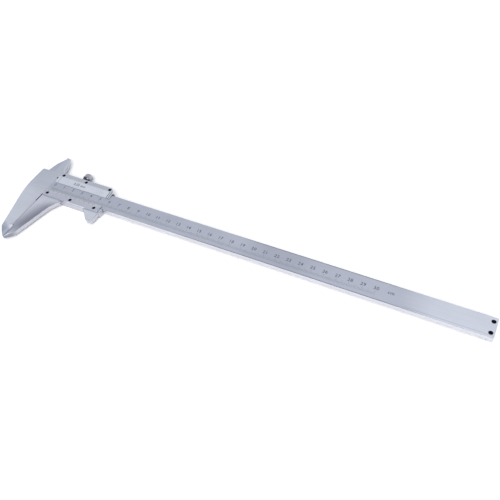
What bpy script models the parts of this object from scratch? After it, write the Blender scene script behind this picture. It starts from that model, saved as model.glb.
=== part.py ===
# Vernier caliper, 0-300 mm, lying on its back.
# Sizes are millimetres on the caliper's own axes: X along the beam from the outside
# measuring plane, Y across it from the beam's lower edge, Z up from the beam's back.
# Every mesh is then placed so that the world origin is under the middle of the whole tool.

import math

import bmesh
import bpy
from mathutils import Matrix, Vector

MM = 0.001

# Beam and fixed jaw
READING_RANGE = 300.0
BEAM_OVERRUN = 88.5
BEAM_WIDTH = 17.5
BEAM_THICKNESS = 4.0
JAW_WIDTH = 22.1
JAW_REACH = 58.0
JAW_CROWN = 6.3
JAW_TAPER = 0.288
JAW_TIP_LENGTH = 8.7
JAW_TOE = 8.6
JAW_NOSE = 0.6
RELIEF_WIDTH = 0.9
RELIEF_START = 3.3
RELIEF_DEPTH = 10.2

# Knife tips of the outside jaws
KNIFE_LENGTH = 13.5
KNIFE_WIDTH = 3.6
KNIFE_THINNING = 1.5

# Inside jaws; heights are above the fixed jaw's crown
INSIDE_LINE = -9.6
INSIDE_REACH = 21.7
INSIDE_LEFT_WIDTH = 8.1
INSIDE_RIGHT_WIDTH = 9.45
INSIDE_TIP_WIDTH = 3.6
INSIDE_TIP_STEP = 1.5
LEFT_BELLY = (1.3, 11.0)
LEFT_HIP = 3.2
RIGHT_BELLY = (2.7, 14.8)
RIGHT_HIP = 6.5
FIN_GRIND_ANGLE = 22.0
FIN_GRIND_TURN = -70.5
FIN_GRIND_START = (-4.4, 10.0)
FIN_GRIND_LOW = 9.6
FIN_GRIND_HIGH = 16.0
CORNER_RELIEF = 1.6

# Slider
SLIDER_LENGTH = 62.3
LOWER_RAIL = 5.0
UPPER_RAIL = 5.4
WEB_THICKNESS = 1.9
CORNER_LONG = 6.5
CORNER_SHORT = 5.7
MOVING_JAW_ROOT = 20.8
MOVING_JAW_SHOULDER = 16.2
MOVING_JAW_TOE = 7.3
MOVING_JAW_STEP = 1.8
THUMB_START = 45.5
THUMB_END = 61.5
THUMB_DROP = 10.2
THUMB_TOP = 56.0
JAW_SHOULDER_DROP = 8.0
JAW_TOE_RISE = 6.6

# Cover plates
PLATE_THICKNESS = 1.2
PLATE_LENGTH = 59.8
PLATE_EDGE = 0.25
WINDOW_LOW = 3.3
WINDOW_HIGH = 12.4
VERNIER_BEVEL = 3.8
UPPER_BEVEL = 7.3

# Gib strip, lock screw and fasteners
GIB_THICKNESS = 0.7
LOCK_X = 25.0
LOCK_HEAD_DIAMETER = 8.0
LOCK_HEAD_LENGTH = 6.0
LOCK_NECK = 2.0
LOCK_STEM_DIAMETER = 2.5
GIB_SCREW_DIAMETER = 2.0
PLATE_SCREW_DIAMETER = 2.8
PLATE_SCREW_SHANK = 1.6
PLATE_SCREW_INSET = 2.6
PLATE_SEAT_DEPTH = 0.75
PLATE_THREAD_DEPTH = 3.2
STOP_SCREW_DIAMETER = 3.0
STOP_SCREW_SHANK = 1.8
STOP_SCREW_INSET = 2.8
STOP_SEAT_DEPTH = 1.2
STOP_SCREW_SPACING = 9.8
SLOT_WIDTH = 0.5
SLOT_DEPTH = 0.45

# Depth rod and rear stop
ROD_WIDTH = 4.0
ROD_THICKNESS = 1.45
ROD_START = 12.0
GROOVE_START = 8.0
GROOVE_DEPTH = 2.0
STOP_LENGTH = 4.7
STOP_INSET = 0.6
STOP_FLOOR = 0.5
RIVET_DIAMETER = 1.6

# Fits
JAW_GAP = 0.2
RUN_GAP = 0.3
HOLE_GAP = 0.1
SCREW_SINK = 0.05
FIN_GAP = 0.15

# How far a cutter runs past the piece it cuts
PAST = 1.0

# Sizes that follow from the ones above
BEAM_END = READING_RANGE + BEAM_OVERRUN
BEAM_MIDDLE = BEAM_WIDTH / 2
CROWN_TOP = BEAM_WIDTH + JAW_CROWN
JAW_TIP = -JAW_REACH
RAIL_TOP = BEAM_THICKNESS
LOCK_Z = BEAM_THICKNESS / 2
WEB_TOP = -RUN_GAP
BACK = WEB_TOP - WEB_THICKNESS
LOWER_RAIL_TOP = -RUN_GAP
SLIDER_LOW = LOWER_RAIL_TOP - LOWER_RAIL
GIB_LOW = BEAM_WIDTH + RUN_GAP
UPPER_RAIL_LOW = GIB_LOW + GIB_THICKNESS + RUN_GAP
SLIDER_HIGH = UPPER_RAIL_LOW + UPPER_RAIL
SLIDER_END = JAW_GAP + SLIDER_LENGTH
PLATE_START = JAW_GAP + 0.5
PLATE_END = PLATE_START + PLATE_LENGTH
PLATE_LOW = RAIL_TOP + HOLE_GAP
PLATE_TOP = PLATE_LOW + PLATE_THICKNESS
INSIDE_TIP = CROWN_TOP + INSIDE_REACH
FIN_SPLIT = BEAM_THICKNESS / 2
STOP_START = BEAM_END - STOP_LENGTH
STOP_SCREW_X = BEAM_END - STOP_SCREW_INSET
ROD_LOW = GROOVE_DEPTH - 0.25 - ROD_THICKNESS
PLATE_SCREW_XS = (PLATE_START + 3.5, PLATE_START + PLATE_LENGTH / 2 - 1.0, PLATE_END - 5.0)
STOP_SCREW_YS = {
    "lower": BEAM_MIDDLE - STOP_SCREW_SPACING / 2,
    "upper": BEAM_MIDDLE + STOP_SCREW_SPACING / 2,
}
UPPER_SCREW_Y = SLIDER_HIGH - PLATE_SCREW_INSET
LOWER_SCREW_Y = SLIDER_LOW + PLATE_SCREW_INSET + 0.3
GIB_SCREW_XS = (LOCK_X - 15.0, LOCK_X + 21.0)
RIVET_XS = (ROD_START + 5.0, ROD_START + 15.0)

# Everything is drawn on the caliper's axes and moved once by this shift
SHIFT = Vector((-(BEAM_END - JAW_WIDTH) / 2, -(INSIDE_TIP + JAW_TIP) / 2, -BACK)) * MM


def clear_scene():
    for item in list(bpy.data.objects):
        bpy.data.objects.remove(item, do_unlink=True)


def new_collection(name):
    group = bpy.data.collections.new(name)
    bpy.context.scene.collection.children.link(group)
    return group


def metal(name, colour, roughness, metallic=1.0):
    material = bpy.data.materials.new(name)
    material.use_nodes = True
    shader = material.node_tree.nodes["Principled BSDF"]
    shader.inputs["Base Color"].default_value = (*colour, 1.0)
    shader.inputs["Roughness"].default_value = roughness
    shader.inputs["Metallic"].default_value = metallic
    return material


def add_object(name, mesh):
    item = bpy.data.objects.new(name, mesh)
    bpy.context.scene.collection.objects.link(item)
    return item


def turned_axes(direction):
    # A turn that takes local +Z to the given direction
    return Vector((0, 0, 1)).rotation_difference(Vector(direction)).to_matrix().to_4x4()


def box(name, low, high):
    # A block between two corners, in caliper millimetres
    mesh = bpy.data.meshes.new(name)
    shape = bmesh.new()
    bmesh.ops.create_cube(shape, size=1.0)
    size = [(high[i] - low[i]) * MM for i in range(3)]
    bmesh.ops.scale(shape, vec=size, verts=shape.verts)
    shape.to_mesh(mesh)
    shape.free()
    item = add_object(name, mesh)
    middle = Vector([(high[i] + low[i]) / 2 * MM for i in range(3)])
    item.matrix_world = Matrix.Translation(middle)
    return item


def rod(name, start, direction, length, diameter, sides=24):
    # A round bar from a point along a direction
    mesh = bpy.data.meshes.new(name)
    shape = bmesh.new()
    radius = diameter / 2 * MM
    bmesh.ops.create_cone(
        shape, cap_ends=True, segments=sides, radius1=radius, radius2=radius, depth=length * MM
    )
    bmesh.ops.translate(shape, vec=(0, 0, length / 2 * MM), verts=shape.verts)
    shape.to_mesh(mesh)
    shape.free()
    item = add_object(name, mesh)
    item.matrix_world = Matrix.Translation(Vector(start) * MM) @ turned_axes(direction)
    return item


def turned(name, profile, start, direction, sides=32):
    # A turned piece: radius and height pairs from the top of its outer side to its base
    mesh = bpy.data.meshes.new(name)
    shape = bmesh.new()
    points = [shape.verts.new((radius * MM, 0, height * MM)) for radius, height in profile]
    for first, second in zip(points, points[1:]):
        shape.edges.new((first, second))
    shape.to_mesh(mesh)
    shape.free()
    item = add_object(name, mesh)
    screw = item.modifiers.new("turn", "SCREW")
    screw.steps = sides
    screw.render_steps = sides
    screw.use_merge_vertices = True
    screw.merge_threshold = 0.00001
    item.matrix_world = Matrix.Translation(Vector(start) * MM) @ turned_axes(direction)
    return item


def rounded(corners, steps=5):
    # Corners are x, y and a fillet radius; each fillet becomes a short arc
    outline = []
    count = len(corners)
    for index, (x, y, radius) in enumerate(corners):
        here = Vector((x, y))
        if radius == 0:
            outline.append(here)
            continue
        before = (Vector(corners[index - 1][:2]) - here).normalized()
        after = (Vector(corners[(index + 1) % count][:2]) - here).normalized()
        half = before.angle(after) / 2
        centre = here + (before + after).normalized() * radius / math.sin(half)
        first = here + before * radius / math.tan(half) - centre
        last = here + after * radius / math.tan(half) - centre
        sweep = first.angle_signed(last)
        for step in range(steps + 1):
            turn = Matrix.Rotation(-sweep * step / steps, 2)
            outline.append(centre + turn @ first)
    return outline


def plate(name, outline, low, high, axes=None):
    # A flat outline made solid between two heights, then turned into a welded mesh
    curve = bpy.data.curves.new(name, "CURVE")
    curve.dimensions = "2D"
    curve.fill_mode = "BOTH"
    curve.extrude = (high - low) / 2 * MM
    spline = curve.splines.new("POLY")
    spline.points.add(len(outline) - 1)
    for point, (x, y) in zip(spline.points, outline):
        point.co = (x * MM, y * MM, 0, 1)
    spline.use_cyclic_u = True
    sketch = add_object(name + "_sketch", curve)
    sketch.matrix_world = (axes or Matrix.Identity(4)) @ Matrix.Translation((0, 0, (high + low) / 2 * MM))
    bpy.context.view_layer.update()
    evaluated = sketch.evaluated_get(bpy.context.evaluated_depsgraph_get())
    mesh = bpy.data.meshes.new_from_object(evaluated)
    mesh.name = name
    shape = bmesh.new()
    shape.from_mesh(mesh)
    bmesh.ops.remove_doubles(shape, verts=shape.verts, dist=0.000001)
    bmesh.ops.recalc_face_normals(shape, faces=shape.faces)
    shape.to_mesh(mesh)
    shape.free()
    item = add_object(name, mesh)
    item.matrix_world = sketch.matrix_world.copy()
    bpy.data.objects.remove(sketch, do_unlink=True)
    bpy.data.curves.remove(curve)
    return item


# Local X, Y, Z of a section become the caliper's Y, Z, X
SECTION_AXES = Matrix(((0, 0, 1, 0), (1, 0, 0, 0), (0, 1, 0, 0), (0, 0, 0, 1)))

# Local X, Y, Z become the caliper's X, Z and the way down the jaws
JAW_AXES = Matrix(((1, 0, 0, 0), (0, 0, -1, 0), (0, 1, 0, 0), (0, 0, 0, 1)))


def bar(name, section, start, end):
    # A cross-section in Y and Z carried along X
    return plate(name, section, start, end, SECTION_AXES)


def combine(target, tools, operation):
    for tool in tools:
        modifier = target.modifiers.new(tool.name, "BOOLEAN")
        modifier.operation = operation
        modifier.solver = "EXACT"
        modifier.object = tool
        tool.hide_render = True
        tool.display_type = "WIRE"
        cutters.append(tool)
    return target


def cut(target, *tools):
    return combine(target, tools, "DIFFERENCE")


def join(target, *tools):
    return combine(target, tools, "UNION")


def finish(item, material, width=0.0):
    # Small chamfers, material and shading, then the part is on the list
    if width:
        bevel = item.modifiers.new("edges", "BEVEL")
        bevel.width = width * MM
        bevel.segments = 1
        bevel.limit_method = "ANGLE"
        bevel.angle_limit = math.radians(50)
    item.data.materials.clear()
    item.data.materials.append(material)
    item.data.shade_smooth()
    item.data.set_sharp_from_angle(angle=math.radians(30))
    parts.append(item)
    return item


def knife_cutter(name, seam, side):
    # A sloping slice off an outside jaw's front, along the seam, from the knife's start to the tip
    section = [
        (seam + side * KNIFE_WIDTH, BEAM_THICKNESS),
        (seam - side * RUN_GAP, BEAM_THICKNESS - KNIFE_THINNING),
        (seam - side * RUN_GAP, BEAM_THICKNESS + PAST),
        (seam + side * KNIFE_WIDTH, BEAM_THICKNESS + PAST),
    ]
    return plate(name, section, JAW_REACH - KNIFE_LENGTH, JAW_REACH + PAST, JAW_AXES)


def fixed_jaw_outline():
    # Beam and fixed jaw in one outline, anticlockwise from the beam's far lower corner
    shoulder = JAW_TIP + JAW_TIP_LENGTH
    taper_top = shoulder + (JAW_WIDTH - JAW_TOE) / JAW_TAPER
    return rounded([
        (BEAM_END, 0, 0.6),
        (BEAM_END, BEAM_WIDTH, 0.6),
        (0, BEAM_WIDTH, 0),
        (0, CROWN_TOP, 0.4),
        (-JAW_WIDTH, CROWN_TOP, 1.0),
        (-JAW_WIDTH, taper_top, 80.0),
        (-JAW_TOE, shoulder, 2.0),
        (-JAW_NOSE, JAW_TIP, 0),
        (0, JAW_TIP, 0),
        (0, -RELIEF_START - RELIEF_DEPTH, 0),
        (-RELIEF_WIDTH, -RELIEF_START - RELIEF_DEPTH, 0),
        (-RELIEF_WIDTH, -RELIEF_START, 0),
        (0, -RELIEF_START, 0),
        (0, 0, 0),
    ])


def fixed_fin_outline():
    # The front fin: a straight measuring edge on its left, a curved back on its right
    right = INSIDE_LINE + INSIDE_RIGHT_WIDTH
    base = CROWN_TOP - PAST
    top = INSIDE_TIP - INSIDE_TIP_STEP
    return rounded([
        (right, base, 0),
        (right, CROWN_TOP + RIGHT_HIP, 12.0),
        (right - RIGHT_BELLY[0], CROWN_TOP + RIGHT_BELLY[1], 12.0),
        (INSIDE_LINE + INSIDE_TIP_WIDTH, top, 0.8),
        (INSIDE_LINE, top, 0),
        (INSIDE_LINE, base, 0),
    ])


def moving_fin_outline():
    # The rear fin: a root that runs behind the fixed jaw's crown, then the fin itself
    left = INSIDE_LINE - INSIDE_LEFT_WIDTH
    low = BEAM_WIDTH + PAST + RUN_GAP
    root_top = SLIDER_HIGH - 0.2
    return rounded([
        (JAW_GAP + 2.0, low, 0),
        (JAW_GAP + 2.0, root_top, 0),
        (INSIDE_LINE + 2.0, root_top, 1.0),
        (INSIDE_LINE, root_top + 3.1, 0),
        (INSIDE_LINE, INSIDE_TIP, 0),
        (INSIDE_LINE - JAW_NOSE - 0.6, INSIDE_TIP - 0.2, 0.3),
        (left + LEFT_BELLY[0], CROWN_TOP + LEFT_BELLY[1], 14.0),
        (left, CROWN_TOP + LEFT_HIP, 8.0),
        (left, low, 1.0),
    ])


def fin_grind():
    # The sloping face ground along the front fin's back and tip
    block = box("fin_grind", (-FIN_GRIND_HIGH, 0, 0), (FIN_GRIND_LOW, 14.0, 8.0))
    middle = block.matrix_world.copy()
    x, height = FIN_GRIND_START
    block.matrix_world = (
        Matrix.Translation(Vector((x, CROWN_TOP + height, BEAM_THICKNESS)) * MM)
        @ Matrix.Rotation(math.radians(FIN_GRIND_TURN), 4, "Z")
        @ Matrix.Rotation(math.radians(-FIN_GRIND_ANGLE), 4, "X")
        @ middle
    )
    return block


def make_beam():
    beam = plate("beam_and_fixed_jaw", fixed_jaw_outline(), 0, BEAM_THICKNESS)
    fin = plate("fixed_inside_jaw", fixed_fin_outline(), FIN_SPLIT - PAST, BEAM_THICKNESS)
    crown_cut = box(
        "moving_jaw_recess",
        (INSIDE_LINE - INSIDE_LEFT_WIDTH - RUN_GAP, BEAM_WIDTH + PAST, -PAST),
        (RUN_GAP, INSIDE_TIP + PAST, FIN_SPLIT + FIN_GAP),
    )
    corner_relief = box(
        "corner_relief",
        (-CORNER_RELIEF, BEAM_WIDTH - RUN_GAP, -PAST),
        (HOLE_GAP, BEAM_WIDTH + CORNER_RELIEF, BEAM_THICKNESS + PAST),
    )
    groove = box(
        "rod_groove",
        (GROOVE_START, BEAM_MIDDLE - ROD_WIDTH / 2 - RUN_GAP, -PAST),
        (BEAM_END + PAST, BEAM_MIDDLE + ROD_WIDTH / 2 + RUN_GAP, GROOVE_DEPTH),
    )
    join(beam, fin)
    cut(beam, crown_cut, fin_grind(), corner_relief, groove, knife_cutter("fixed_knife", 0, -1))
    for place, y in STOP_SCREW_YS.items():
        hole = rod(
            f"stop_hole_{place}", (STOP_SCREW_X, y, -PAST), (0, 0, 1), BEAM_THICKNESS + 2 * PAST,
            STOP_SCREW_SHANK + 2 * HOLE_GAP, 20,
        )
        seat = rod(
            f"stop_seat_{place}", (STOP_SCREW_X, y, BEAM_THICKNESS - STOP_SEAT_DEPTH), (0, 0, 1),
            STOP_SEAT_DEPTH + PAST, STOP_SCREW_DIAMETER + 2 * HOLE_GAP, 24,
        )
        cut(beam, hole, seat)
    return finish(beam, steel)


def make_slider():
    frame = plate("slider_frame", rounded([
        (JAW_GAP, SLIDER_LOW, 0),
        (SLIDER_END, SLIDER_LOW, 1.0),
        (SLIDER_END, SLIDER_HIGH - CORNER_SHORT, 1.5),
        (SLIDER_END - CORNER_LONG, SLIDER_HIGH, 1.5),
        (JAW_GAP, SLIDER_HIGH, 0),
    ]), BACK, RAIL_TOP)
    channel = box(
        "beam_channel",
        (-PAST, LOWER_RAIL_TOP, WEB_TOP),
        (SLIDER_END + PAST, UPPER_RAIL_LOW, RAIL_TOP + PAST),
    )
    jaw = plate("moving_jaw", rounded([
        (JAW_GAP, SLIDER_LOW + PAST, 0),
        (JAW_GAP, JAW_TIP, 0),
        (JAW_GAP + JAW_NOSE, JAW_TIP, 0),
        (MOVING_JAW_TOE, JAW_TIP + JAW_TOE_RISE, 2.0),
        (MOVING_JAW_SHOULDER, SLIDER_LOW - JAW_SHOULDER_DROP, 30.0),
        (MOVING_JAW_ROOT, SLIDER_LOW - MOVING_JAW_STEP, 0.4),
        (MOVING_JAW_ROOT, SLIDER_LOW + PAST, 0),
    ]), 0, RAIL_TOP)
    thumb = plate("thumb_rest", rounded([
        (THUMB_START, SLIDER_LOW, 0),
        (THUMB_TOP, SLIDER_LOW - THUMB_DROP, 1.2),
        (THUMB_END, SLIDER_LOW - THUMB_DROP, 1.2),
        (THUMB_END, SLIDER_LOW + PAST, 0),
        (THUMB_START, SLIDER_LOW + PAST, 0),
    ]), 0, RAIL_TOP)
    fin = plate("moving_inside_jaw", moving_fin_outline(), 0, FIN_SPLIT - FIN_GAP)
    cut(frame, channel)
    join(frame, jaw, thumb, fin)
    cut(frame, knife_cutter("moving_knife", JAW_GAP, 1))
    for index, x in enumerate(PLATE_SCREW_XS):
        for side, y in (("upper", UPPER_SCREW_Y), ("lower", LOWER_SCREW_Y)):
            hole = rod(
                f"{side}_hole_{index}", (x, y, RAIL_TOP - PLATE_THREAD_DEPTH), (0, 0, 1),
                PLATE_THREAD_DEPTH + PAST, PLATE_SCREW_SHANK + 2 * HOLE_GAP, 16,
            )
            cut(frame, hole)
    lock_hole = rod(
        "lock_hole", (LOCK_X, UPPER_RAIL_LOW - PAST, LOCK_Z), (0, 1, 0), UPPER_RAIL + 2 * PAST,
        LOCK_STEM_DIAMETER + 2 * HOLE_GAP, 20,
    )
    cut(frame, lock_hole)
    for index, x in enumerate(GIB_SCREW_XS):
        hole = rod(
            f"gib_hole_{index}", (x, UPPER_RAIL_LOW - PAST, LOCK_Z), (0, 1, 0), UPPER_RAIL + 2 * PAST,
            GIB_SCREW_DIAMETER + 2 * HOLE_GAP, 16,
        )
        cut(frame, hole)
    for index, x in enumerate(RIVET_XS):
        hole = rod(
            f"web_rivet_hole_{index}", (x, BEAM_MIDDLE, BACK - PAST), (0, 0, 1), WEB_THICKNESS + 2 * PAST,
            RIVET_DIAMETER + 2 * HOLE_GAP, 16,
        )
        cut(frame, hole)
    return finish(frame, steel)


def plate_holes(name, target, y):
    for index, x in enumerate(PLATE_SCREW_XS):
        shank = rod(
            f"{name}_shank_{index}", (x, y, PLATE_LOW - PAST), (0, 0, 1), PLATE_THICKNESS + 2 * PAST,
            PLATE_SCREW_SHANK + 2 * HOLE_GAP, 16,
        )
        seat = rod(
            f"{name}_seat_{index}", (x, y, PLATE_TOP - PLATE_SEAT_DEPTH), (0, 0, 1), PLATE_SEAT_DEPTH + PAST,
            PLATE_SCREW_DIAMETER + 2 * HOLE_GAP, 24,
        )
        cut(target, shank, seat)


def make_upper_plate():
    cover = bar("upper_plate", [
        (WINDOW_HIGH, PLATE_LOW),
        (SLIDER_HIGH, PLATE_LOW),
        (SLIDER_HIGH, PLATE_TOP),
        (WINDOW_HIGH + UPPER_BEVEL, PLATE_TOP),
        (WINDOW_HIGH, PLATE_LOW + PLATE_EDGE),
    ], PLATE_START, PLATE_END)
    slant = math.atan2(CORNER_SHORT, CORNER_LONG)
    corner = box("plate_corner", (0, 0, -3.0), (20.0, 20.0, 3.0))
    corner.matrix_world = (
        Matrix.Translation(Vector((SLIDER_END - CORNER_LONG, SLIDER_HIGH, PLATE_TOP)) * MM)
        @ Matrix.Rotation(-slant, 4, "Z")
        @ Matrix.Translation(Vector((0, 10.0, 0)) * MM)
    )
    cut(cover, corner)
    plate_holes("upper", cover, UPPER_SCREW_Y)
    return finish(cover, satin)


def make_vernier_plate():
    cover = bar("vernier_plate", [
        (SLIDER_LOW, PLATE_LOW),
        (WINDOW_LOW, PLATE_LOW),
        (WINDOW_LOW, PLATE_LOW + PLATE_EDGE),
        (WINDOW_LOW - VERNIER_BEVEL, PLATE_TOP),
        (SLIDER_LOW, PLATE_TOP),
    ], PLATE_START, PLATE_END)
    plate_holes("vernier", cover, LOWER_SCREW_Y)
    return finish(cover, satin)


def slotted_screw(name, x, y, top, head, shank, seat_depth, length):
    # A cheese-head screw that points down from its seat, with a driver slot
    screw = turned(name, [
        (0, top),
        (head / 2 - 0.12, top),
        (head / 2, top - 0.12),
        (head / 2, top - seat_depth + 0.06),
        (shank / 2, top - seat_depth + 0.06),
        (shank / 2, top - length + 0.2),
        (shank / 2 - 0.2, top - length),
        (0, top - length),
    ], (x, y, 0), (0, 0, 1), 24)
    slot = box(
        name + "_slot",
        (x - head, y - SLOT_WIDTH / 2, top - SLOT_DEPTH),
        (x + head, y + SLOT_WIDTH / 2, top + 1.0),
    )
    cut(screw, slot)
    return finish(screw, black)


def make_plate_screws():
    for side, y in (("upper", UPPER_SCREW_Y), ("vernier", LOWER_SCREW_Y)):
        for place, x in zip(("left", "middle", "right"), PLATE_SCREW_XS):
            slotted_screw(
                f"{side}_plate_screw_{place}", x, y, PLATE_TOP - SCREW_SINK, PLATE_SCREW_DIAMETER,
                PLATE_SCREW_SHANK, PLATE_SEAT_DEPTH - 0.11, PLATE_TOP - RAIL_TOP + PLATE_THREAD_DEPTH - 0.4,
            )


def make_stop():
    stop = box(
        "rear_stop",
        (STOP_START, STOP_INSET, BACK),
        (BEAM_END, BEAM_WIDTH - STOP_INSET, WEB_TOP),
    )
    for place, y in STOP_SCREW_YS.items():
        hole = rod(
            f"stop_thread_{place}", (STOP_SCREW_X, y, BACK + STOP_FLOOR), (0, 0, 1), WEB_THICKNESS + PAST,
            STOP_SCREW_SHANK + 2 * HOLE_GAP, 20,
        )
        cut(stop, hole)
        slotted_screw(
            f"stop_screw_{place}", STOP_SCREW_X, y, BEAM_THICKNESS - SCREW_SINK, STOP_SCREW_DIAMETER,
            STOP_SCREW_SHANK, STOP_SEAT_DEPTH - 0.11, BEAM_THICKNESS - BACK - STOP_FLOOR - RUN_GAP,
        )
    return finish(stop, steel)


def make_gib():
    gib = box(
        "gib_strip",
        (JAW_GAP + 1.0, GIB_LOW, WEB_TOP + RUN_GAP + 0.1),
        (SLIDER_END - 1.0, GIB_LOW + GIB_THICKNESS, RAIL_TOP - 0.1),
    )
    return finish(gib, bronze)


def make_lock_screw():
    # The origin is on the screw's axis, where its tip meets the gib strip
    tip = GIB_LOW + GIB_THICKNESS + 0.05
    head_low = SLIDER_HIGH + LOCK_NECK - tip
    head_high = head_low + LOCK_HEAD_LENGTH
    radius = LOCK_HEAD_DIAMETER / 2
    stem = LOCK_STEM_DIAMETER / 2
    knob = turned("lock_screw", [
        (0, head_high),
        (radius - 0.6, head_high),
        (radius, head_high - 0.6),
        (radius, head_low + 0.5),
        (radius - 0.5, head_low),
        (stem + 0.9, head_low),
        (stem + 0.9, head_low - LOCK_NECK + 0.5),
        (stem, head_low - LOCK_NECK + 0.5),
        (stem, 0.4),
        (stem - 0.4, 0),
        (0, 0),
    ], (LOCK_X, tip, LOCK_Z), (0, 1, 0), 40)
    return finish(knob, steel)


def make_gib_screws():
    for place, x in zip(("left", "right"), GIB_SCREW_XS):
        tip = GIB_LOW + GIB_THICKNESS + RUN_GAP
        length = UPPER_RAIL - 0.3
        radius = GIB_SCREW_DIAMETER / 2
        screw = turned(f"gib_screw_{place}", [
            (0, length),
            (radius, length),
            (radius, 0.3),
            (radius - 0.3, 0),
            (0, 0),
        ], (x, tip, LOCK_Z), (0, 1, 0), 20)
        slot = box(
            f"gib_slot_{place}",
            (x - 2.0, tip + length - 0.6, LOCK_Z - 0.2),
            (x + 2.0, tip + length + 1.0, LOCK_Z + 0.2),
        )
        cut(screw, slot)
        finish(screw, black)


def make_depth_rod():
    blade = box(
        "depth_rod",
        (ROD_START, BEAM_MIDDLE - ROD_WIDTH / 2, ROD_LOW),
        (BEAM_END, BEAM_MIDDLE + ROD_WIDTH / 2, ROD_LOW + ROD_THICKNESS),
    )
    notch = box(
        "rod_notch",
        (BEAM_END - 2.5, BEAM_MIDDLE + ROD_WIDTH / 2 - 1.2, ROD_LOW - 1.0),
        (BEAM_END + 1.0, BEAM_MIDDLE + ROD_WIDTH, ROD_LOW + 3.0),
    )
    cut(blade, notch)
    for index, (place, x) in enumerate(zip(("left", "right"), RIVET_XS)):
        hole = rod(
            f"rod_rivet_hole_{index}", (x, BEAM_MIDDLE, ROD_LOW - 1.0), (0, 0, 1), 4.0,
            RIVET_DIAMETER + 2 * HOLE_GAP, 16,
        )
        cut(blade, hole)
        rivet = rod(
            f"rod_rivet_{place}", (x, BEAM_MIDDLE, BACK + 0.1), (0, 0, 1),
            ROD_LOW + ROD_THICKNESS - BACK - 0.2, RIVET_DIAMETER, 16,
        )
        finish(rivet, steel)
    return finish(blade, steel)


def place_everything():
    # One shift puts the origin under the middle of the caliper
    bpy.context.view_layer.update()
    for item in parts + cutters:
        item.matrix_world = Matrix.Translation(SHIFT) @ item.matrix_world


def sort_collections():
    tool_group = new_collection("vernier_caliper")
    cutter_group = new_collection("cutters")
    for item in parts:
        bpy.context.scene.collection.objects.unlink(item)
        tool_group.objects.link(item)
    for item in cutters:
        bpy.context.scene.collection.objects.unlink(item)
        cutter_group.objects.link(item)


clear_scene()
parts = []
cutters = []
steel = metal("ground_stainless_steel", (0.62, 0.63, 0.66), 0.32)
satin = metal("satin_chromed_steel", (0.66, 0.68, 0.72), 0.36)
black = metal("blackened_steel", (0.02, 0.02, 0.025), 0.45, 0.8)
bronze = metal("phosphor_bronze", (0.60, 0.36, 0.16), 0.4)

make_beam()
make_stop()
make_slider()
make_upper_plate()
make_vernier_plate()
make_plate_screws()
make_gib()
make_gib_screws()
make_lock_screw()
make_depth_rod()
place_everything()
sort_collections()
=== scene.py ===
import math

import bmesh
import bpy
from mathutils import Matrix, Vector


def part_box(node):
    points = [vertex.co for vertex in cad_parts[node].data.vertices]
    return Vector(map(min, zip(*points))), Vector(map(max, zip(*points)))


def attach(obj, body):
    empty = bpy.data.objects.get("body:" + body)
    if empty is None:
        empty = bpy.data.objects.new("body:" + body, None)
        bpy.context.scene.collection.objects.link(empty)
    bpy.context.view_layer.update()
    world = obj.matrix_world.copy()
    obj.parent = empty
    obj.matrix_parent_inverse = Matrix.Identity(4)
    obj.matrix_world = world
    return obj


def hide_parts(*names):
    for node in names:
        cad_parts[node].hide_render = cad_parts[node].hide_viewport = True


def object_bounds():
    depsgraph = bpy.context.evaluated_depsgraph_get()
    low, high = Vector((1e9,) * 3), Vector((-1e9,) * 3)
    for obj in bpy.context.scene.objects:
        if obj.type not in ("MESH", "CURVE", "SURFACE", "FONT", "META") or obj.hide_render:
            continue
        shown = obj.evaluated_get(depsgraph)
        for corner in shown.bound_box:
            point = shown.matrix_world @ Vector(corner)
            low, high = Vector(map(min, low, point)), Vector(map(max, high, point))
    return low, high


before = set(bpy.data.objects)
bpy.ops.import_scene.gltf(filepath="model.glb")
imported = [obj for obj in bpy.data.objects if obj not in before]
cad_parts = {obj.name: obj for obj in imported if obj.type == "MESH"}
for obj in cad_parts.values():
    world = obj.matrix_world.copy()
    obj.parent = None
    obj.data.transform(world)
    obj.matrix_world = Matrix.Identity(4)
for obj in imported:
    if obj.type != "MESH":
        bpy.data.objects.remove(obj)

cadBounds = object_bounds()
mm = 0.001

# the caliper's own zero: outside measuring plane, beam's lower edge, beam's back
caliper = {
    "beamEnd": 388.5,      # beam's free end, from the measuring plane
    "beamWidth": 17.5,
    "beamTop": 4.0,
    "readingRange": 300,
}
beamLow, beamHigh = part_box("beam_and_fixed_jaw")
rodLow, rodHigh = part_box("depth_rod")
zero = Vector((
    beamHigh.x - caliper["beamEnd"] * mm,
    (rodLow.y + rodHigh.y) / 2 - caliper["beamWidth"] / 2 * mm,
    beamLow.z,
))


def place(x, y, z):
    # millimetres on the caliper to metres in the frame
    return zero + Vector((x, y, z)) * mm


def hexColour(text):
    # sRGB hex to linear RGBA
    channels = [int(text[i:i + 2], 16) / 255 for i in (1, 3, 5)]
    linear = [c / 12.92 if c <= 0.04045 else ((c + 0.055) / 1.055) ** 2.4 for c in channels]
    return (*linear, 1.0)


def addNode(tree, kind, inputs=None, **settings):
    # one node with its settings; an input is a value or the socket that feeds it
    node = tree.nodes.new(kind)
    for key, value in settings.items():
        setattr(node, key, value)
    for key, value in (inputs or {}).items():
        if isinstance(value, bpy.types.NodeSocket):
            tree.links.new(value, node.inputs[key])
        else:
            node.inputs[key].default_value = value
    return node


def colourRamp(tree, factor, stops):
    ramp = addNode(tree, "ShaderNodeValToRGB", {"Fac": factor})
    elements = ramp.color_ramp.elements
    while len(elements) < len(stops):
        elements.new(0.5)
    for element, (position, colour) in zip(elements, stops):
        element.position = position
        element.color = colour
    return ramp


def newMaterial(name):
    material = bpy.data.materials.new(name)
    material.use_nodes = True
    tree = material.node_tree
    return material, tree, tree.nodes["Principled BSDF"]


# ---- materials

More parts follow.
